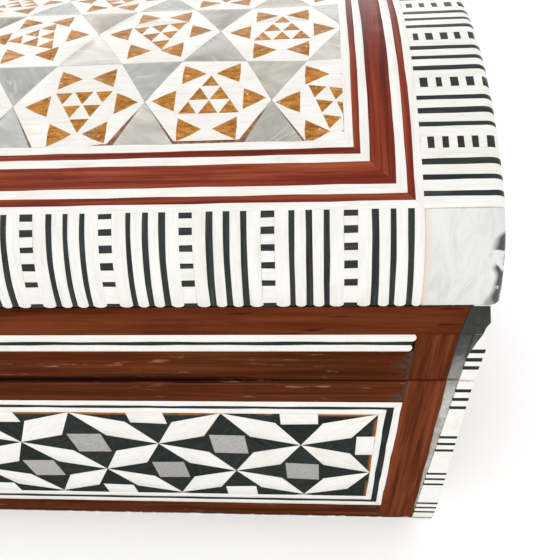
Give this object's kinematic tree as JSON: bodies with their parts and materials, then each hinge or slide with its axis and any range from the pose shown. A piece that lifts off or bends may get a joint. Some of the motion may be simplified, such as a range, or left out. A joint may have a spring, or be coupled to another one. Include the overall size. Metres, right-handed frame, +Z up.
{
  "type": "inlaid wooden box",
  "caption": "Small rectangular wooden chest with a hinged barrel-shaped lid, covered in bone, ebony, red wood and mother-of-pearl inlay; holds jewellery.",
  "frame": {"origin": "middle of the base, on the face that the box rests on", "axes": "+X along the box, -Y is the front, +Y the hinge side, +Z up"},
  "size_m": [0.116, 0.074, 0.0775],
  "materials": {
    "carcass_wood": "satin lacquered beech or walnut, seen on the edges and inside",
    "rail_wood": "reddish brown wood with grain along the rail, glossy lacquer",
    "post_wood": "reddish brown wood with upright grain, glossy lacquer",
    "red_wood": "dark red stained wood line, glossy lacquer",
    "star_wood": "light tan mottled wood, lacquered",
    "ebony": "charcoal black wood, lacquered",
    "bone": "white bone inlay, lacquered",
    "grey_bone": "grey inlay with fine streaks, lacquered",
    "pearl": "mother-of-pearl, silvery grey with pink and cream",
    "mastic": "brown glue bed between the tiles",
    "filler": "grey filler and glue in the corner joints",
    "lining": "dark red velvet",
    "felt": "dark felt",
    "hinge_brass": "plain brass",
    "pin_steel": "plain steel wire"
  },
  "bodies": {
    "case": {"base_felt": "felt", "bottom_board": "carcass_wood", "front_wall": "carcass_wood", "back_wall": "carcass_wood", "left_wall": "carcass_wood", "right_wall": "carcass_wood", "floor_lining": "lining", "wall_lining": "lining", "front_rails": "rail_wood", "back_rails": "rail_wood", "case_posts": "post_wood", "case_corner_glue": "filler", "front_panel_ebony": "ebony", "front_panel_bone": "bone", "front_panel_grey": "grey_bone", "front_line_bone": "bone", "front_line_ebony": "ebony", "back_panel_ebony": "ebony", "back_panel_bone": "bone", "back_panel_grey": "grey_bone", "back_line_bone": "bone", "back_line_ebony": "ebony", "right_end_panel": "rail_wood", "right_border_bone": "bone", "right_border_ebony": "ebony", "left_end_panel": "rail_wood", "left_border_bone": "bone", "left_border_ebony": "ebony", "case_hinge_leaves": "hinge_brass", "hinge_pins": "pin_steel", "case_hinge_screws": "hinge_brass"},
    "lid": {"lid_front_wall": "carcass_wood", "lid_back_wall": "carcass_wood", "left_gable": "carcass_wood", "right_gable": "carcass_wood", "roof_board": "carcass_wood", "lid_lining": "lining", "lid_rails": "rail_wood", "lid_posts": "post_wood", "lid_corner_glue": "filler", "lid_eaves": "rail_wood", "lid_line_bone": "bone", "lid_line_ebony": "ebony", "lid_right_end_panel": "rail_wood", "lid_right_border_bone": "bone", "lid_right_border_ebony": "ebony", "lid_left_end_panel": "rail_wood", "lid_left_border_bone": "bone", "lid_left_border_ebony": "ebony", "roof_mastic": "mastic", "roof_stars": "bone", "roof_star_points": "star_wood", "roof_pearl": "pearl", "roof_lines_bone": "bone", "roof_lines_red": "red_wood", "roof_band_bone": "bone", "roof_band_ebony": "ebony", "roof_corner_blocks": "pearl", "lid_hinge_leaves": "hinge_brass", "lid_hinge_screws": "hinge_brass"}
  },
  "joints": [
    {"name": "lid_hinge", "type": "hinge", "parent": "case", "child": "lid", "pos_m": [0, 0.0355, 0.04985], "axis": [-1, 0, 0], "range_deg": [0, 108]}
  ]
}
